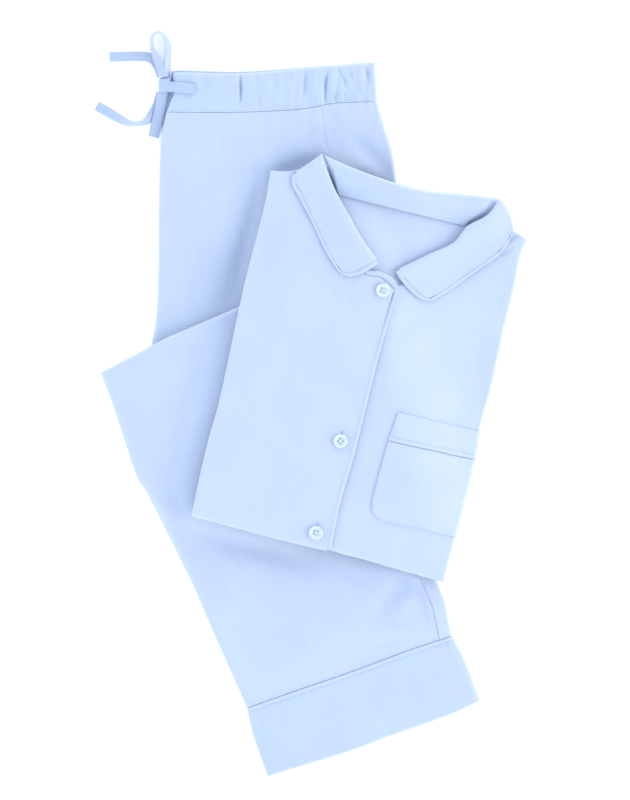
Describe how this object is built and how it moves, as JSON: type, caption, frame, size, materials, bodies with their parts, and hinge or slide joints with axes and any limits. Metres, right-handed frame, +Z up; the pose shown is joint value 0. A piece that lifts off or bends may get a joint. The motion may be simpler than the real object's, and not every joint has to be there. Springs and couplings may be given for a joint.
{
  "type": "folded pyjama set",
  "caption": "Folded pyjama set: a piped, button-through shirt with a notched collar and pocket lies on zig-zag folded drawstring trousers with turned cuffs.",
  "frame": {"origin": "centre of the bounding box at the surface the folded set lies on, measured without the drawstring", "axes": "+Z up from the surface, +Y from the cuff end to the waist end, +X to the right seen from above"},
  "size_m": [0.3994, 0.6873, 0.034],
  "materials": {
    "cotton": "pale blue cotton sateen, soft sheen",
    "piping": "self-coloured cotton piping",
    "tape": "self-fabric drawstring tape",
    "button": "pearly polyester, polished"
  },
  "bodies": {
    "root": {"collar_band": "cotton", "collar_leaf_left": "cotton", "collar_leaf_right": "cotton", "cuff": "cotton", "pocket_bag": "cotton", "pocket_band": "cotton", "shirt_back": "cotton", "shirt_folded_under": "cotton", "shirt_front_left": "cotton", "shirt_front_right": "cotton", "trouser_back_hip": "cotton", "trouser_back_leg": "cotton", "trouser_front_hip": "cotton", "trouser_front_leg": "cotton", "trousers_folded_hip": "cotton", "trousers_folded_leg": "cotton", "waistband": "cotton", "collar_piping_left": "piping", "collar_piping_right": "piping", "cuff_piping": "piping", "front_piping": "piping", "pocket_piping": "piping", "tie_knot": "tape", "tie_loop_down": "tape", "tie_loop_up": "tape", "tie_tail_1": "tape", "tie_tail_2": "tape", "button_1": "button", "button_2": "button", "button_3": "button"}
  },
  "joints": []
}
